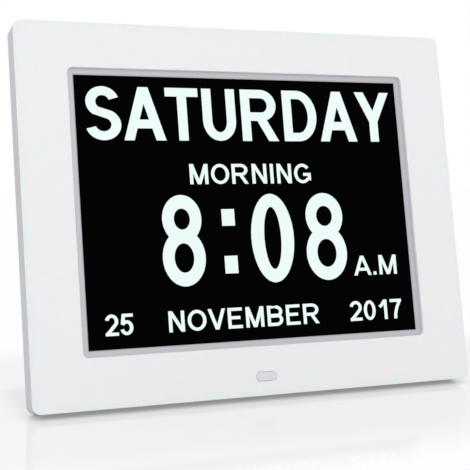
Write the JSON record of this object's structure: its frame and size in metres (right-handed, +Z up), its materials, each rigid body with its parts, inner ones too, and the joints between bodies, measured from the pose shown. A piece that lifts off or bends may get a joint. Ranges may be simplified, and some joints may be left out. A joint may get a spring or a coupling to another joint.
{
  "type": "desk day clock",
  "caption": "Digital day clock that shows weekday, time of day, time and date in a flat rectangular case, leaning back on a folding leg",
  "frame": {"origin": "on the table, under the middle of the whole clock with its leg open", "axes": "+X to the right as the user faces the clock, +Y to the rear, +Z up; the screen faces -Y and leans back by 11.5 degrees"},
  "size_m": [0.216, 0.0684, 0.1722],
  "materials": {
    "white_plastic": "satin white moulding",
    "silver_plastic": "silver-grey satin paint on plastic",
    "cover_plastic": "fine spark-eroded texture",
    "leg_plastic": "fine spark-eroded texture",
    "key_plastic": "satin grey moulding",
    "sensor_plastic": "polished, translucent lilac grey",
    "black_plastic": "matt moulding",
    "switch_black": "matt moulding",
    "module_plastic": "white moulding",
    "connector_plastic": "natural nylon",
    "nylon": "natural nylon",
    "screen_glass": "hard-coated black display glass",
    "bezel_steel": "matt black",
    "steel_sheet": "zinc plated sheet",
    "zinc_steel": "zinc plated",
    "pin_steel": "ground steel",
    "can_steel": "bright nickel plated",
    "can_aluminium": "bare can",
    "ferrite": "matt sintered",
    "circuit_board": "green solder mask on glass fibre",
    "flex_film": "amber polyimide film",
    "film": "diffusing film",
    "acrylic": "clear acrylic sheet",
    "led_strip": "white strip with phosphor windows",
    "wire_insulation": "soft wire insulation",
    "cone_paper": "pressed paper",
    "tape": "double-sided foam tape",
    "pad_rubber": "ribbed rubber"
  },
  "bodies": {
    "case": {"front_fascia": "white_plastic", "fascia_tape": "tape", "mid_frame": "silver_plastic", "sensor_window": "sensor_plastic", "infrared_receiver": "black_plastic", "sensor_board": "circuit_board", "display_bezel": "bezel_steel", "front_glass": "screen_glass", "rear_glass": "screen_glass", "driver_chips": "black_plastic", "mould_frame": "module_plastic", "optical_films": "film", "light_guide": "acrylic", "led_strip": "led_strip", "reflector_sheet": "film", "module_back_plate": "steel_sheet", "display_clamps": "steel_sheet", "clamp_screws": "zinc_steel", "display_flex": "flex_film", "flex_connector": "connector_plastic", "main_board": "circuit_board", "processor": "black_plastic", "memory_chips": "black_plastic", "capacitors": "can_aluminium", "power_inductor": "ferrite", "clock_crystal": "can_steel", "cell_holder": "black_plastic", "coin_cell": "can_steel", "power_jack": "black_plastic", "stick_socket": "steel_sheet", "card_socket": "steel_sheet", "board_screws": "zinc_steel", "key_board": "circuit_board", "key_switches": "switch_black", "key_ribbon": "flex_film", "ribbon_connectors": "connector_plastic", "sensor_wires": "wire_insulation", "wire_connectors": "connector_plastic", "speaker_basket": "steel_sheet", "speaker_cone": "cone_paper", "speaker_magnet": "ferrite", "speaker_wires": "wire_insulation", "rear_cover": "cover_plastic", "cover_screws": "zinc_steel", "hinge_pin": "pin_steel", "hinge_washers": "nylon"},
    "leg": {"stand_leg": "leg_plastic", "foot_pad": "pad_rubber"},
    "power_button": {"power_key": "key_plastic"},
    "menu_button": {"menu_key": "key_plastic"},
    "exit_button": {"exit_key": "key_plastic"},
    "up_button": {"up_key": "key_plastic"},
    "down_button": {"down_key": "key_plastic"},
    "right_button": {"right_key": "key_plastic"},
    "left_button": {"left_key": "key_plastic"}
  },
  "joints": [
    {"name": "stand_hinge", "type": "hinge", "parent": "case", "child": "leg", "pos_m": [0, 0.01105, 0.11242], "axis": [-1, 0, 0], "range_deg": [0, 21.7]},
    {"name": "power_press", "type": "slide", "parent": "case", "child": "power_button", "axis": [0, -0.9799, 0.1994], "range_m": [0, 0.0005], "stiffness_N_per_m": 2000, "springref_m": -0.0005},
    {"name": "menu_press", "type": "slide", "parent": "case", "child": "menu_button", "axis": [0, -0.9799, 0.1994], "range_m": [0, 0.0005], "stiffness_N_per_m": 2000, "springref_m": -0.0005},
    {"name": "exit_press", "type": "slide", "parent": "case", "child": "exit_button", "axis": [0, -0.9799, 0.1994], "range_m": [0, 0.0005], "stiffness_N_per_m": 2000, "springref_m": -0.0005},
    {"name": "up_press", "type": "slide", "parent": "case", "child": "up_button", "axis": [0, -0.9799, 0.1994], "range_m": [0, 0.0005], "stiffness_N_per_m": 2000, "springref_m": -0.0005},
    {"name": "down_press", "type": "slide", "parent": "case", "child": "down_button", "axis": [0, -0.9799, 0.1994], "range_m": [0, 0.0005], "stiffness_N_per_m": 2000, "springref_m": -0.0005},
    {"name": "right_press", "type": "slide", "parent": "case", "child": "right_button", "axis": [0, -0.9799, 0.1994], "range_m": [0, 0.0005], "stiffness_N_per_m": 2000, "springref_m": -0.0005},
    {"name": "left_press", "type": "slide", "parent": "case", "child": "left_button", "axis": [0, -0.9799, 0.1994], "range_m": [0, 0.0005], "stiffness_N_per_m": 2000, "springref_m": -0.0005}
  ]
}
